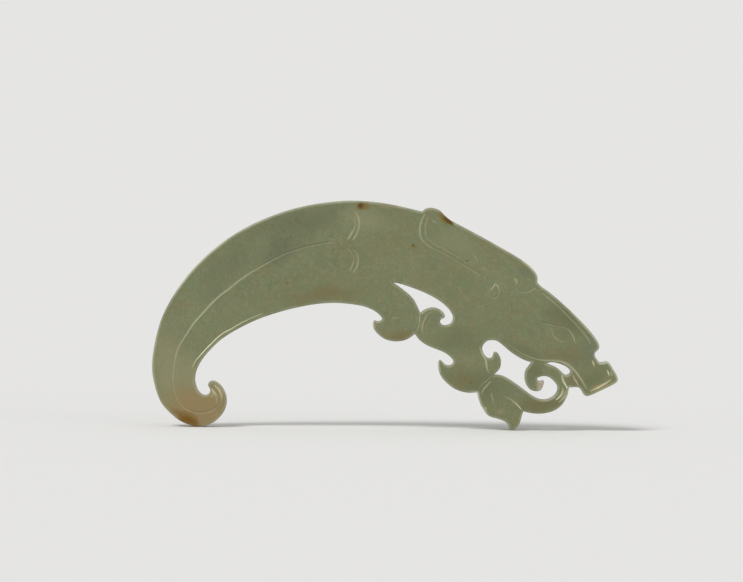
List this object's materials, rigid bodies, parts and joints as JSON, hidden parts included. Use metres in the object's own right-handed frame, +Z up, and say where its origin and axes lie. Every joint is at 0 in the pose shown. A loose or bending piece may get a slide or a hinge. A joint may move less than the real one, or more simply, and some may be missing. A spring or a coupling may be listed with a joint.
{
  "type": "jade dragon plaque",
  "caption": "Thin pierced jade plaque carved as an arched dragon with a curled tail, crest, curled whisker, chest scrolls, claw and fine incised lines.",
  "frame": {"origin": "middle of the length and of the thickness, at the level of the tail curl and the claw on which the plaque stands", "axes": "+X along the length towards the head, +Y through the thickness from the front face to the back face, +Z up towards the arch of the back"},
  "size_m": [0.11, 0.005, 0.0538],
  "materials": {
    "nephrite": "waxy polish, olive celadon with tan and russet skin spots"
  },
  "bodies": {
    "root": {"jade_plaque": "nephrite"}
  },
  "joints": []
}
